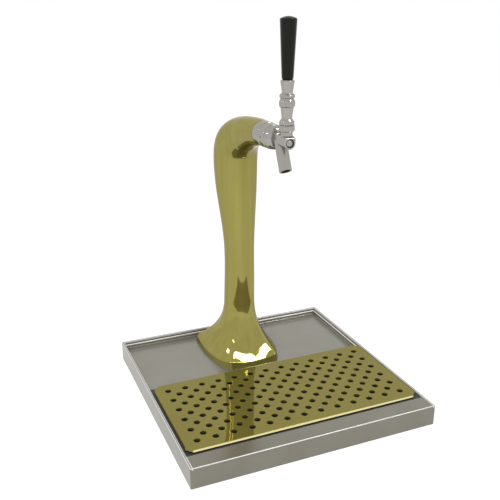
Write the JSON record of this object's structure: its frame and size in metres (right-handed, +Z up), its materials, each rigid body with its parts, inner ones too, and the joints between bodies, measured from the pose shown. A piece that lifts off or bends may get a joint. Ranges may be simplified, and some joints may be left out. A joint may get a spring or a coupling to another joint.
{
  "type": "draft beer tower",
  "caption": "Counter-top swan neck beer tower with a forward pull tap and lever, standing on a square drip tray with a perforated plate over a lift-out pan.",
  "frame": {"origin": "centre of the drip tray's footprint, on the surface that its rubber feet stand on", "axes": "+X to the right of the drinker's side, +Y to the back, away from the tap, +Z up"},
  "size_m": [0.35, 0.35, 0.5308],
  "materials": {
    "steel": "fine satin, softly mirroring",
    "polished_brass": "polished pale brass plating",
    "grille_brass": "polished pale brass plating",
    "plain_brass": "as machined",
    "tap_chrome": "polished chrome plating",
    "handle_black": "smooth gloss black moulding",
    "pan_black": "smooth black moulding",
    "rubber": "matte black rubber",
    "clear_line": "clear flexible tube",
    "nylon": "plain white nylon"
  },
  "bodies": {
    "tower": {"tray_shell": "steel", "deck_plate": "steel", "pan_rail": "steel", "corner_brackets": "steel", "rubber_feet": "rubber", "foot_screws": "steel", "foot_nuts": "steel", "backing_plate": "steel", "tower_shell": "polished_brass", "foot_ring": "plain_brass", "foot_gasket": "rubber", "tower_bolts": "steel", "tower_washers": "steel", "line_grommet": "rubber", "inlet_tail": "tap_chrome", "beer_line": "clear_line", "line_clamps": "steel", "neck_bush": "plain_brass", "shank_washer": "steel", "shank_nut": "plain_brass", "shank": "tap_chrome", "collar": "tap_chrome", "coupling_nut": "tap_chrome", "tail_gasket": "rubber", "tap_body": "tap_chrome", "valve_seat": "nylon", "front_plug": "tap_chrome", "bonnet": "tap_chrome", "bonnet_washer": "rubber"},
    "tap_lever": {"lever": "tap_chrome", "jam_nut": "tap_chrome", "ferrule": "tap_chrome", "handle_stud": "steel", "handle_insert": "plain_brass", "handle": "handle_black"},
    "valve": {"valve_shaft": "tap_chrome", "seat_washer": "rubber", "shaft_nut": "steel"},
    "pan": {"drip_pan": "pan_black"},
    "grille": {"drip_grille": "grille_brass", "grille_pads": "rubber"}
  },
  "joints": [
    {"name": "lever_pull", "type": "hinge", "parent": "tower", "child": "tap_lever", "pos_m": [0, -0.0572, 0.391], "axis": [1, 0, 0], "range_deg": [0, 25]},
    {"name": "valve_travel", "type": "slide", "parent": "tower", "child": "valve", "axis": [0, 1, 0], "range_m": [0, 0.00381]},
    {"name": "pan_lift", "type": "slide", "parent": "tower", "child": "pan", "axis": [0, 0, 1], "range_m": [0, 0.1]},
    {"name": "grille_lift", "type": "slide", "parent": "pan", "child": "grille", "axis": [0, 0, 1], "range_m": [0, 0.1]}
  ],
  "couplings": [
    {"joint": "valve_travel", "follows": "lever_pull", "m_per_rad": 0.008709}
  ]
}
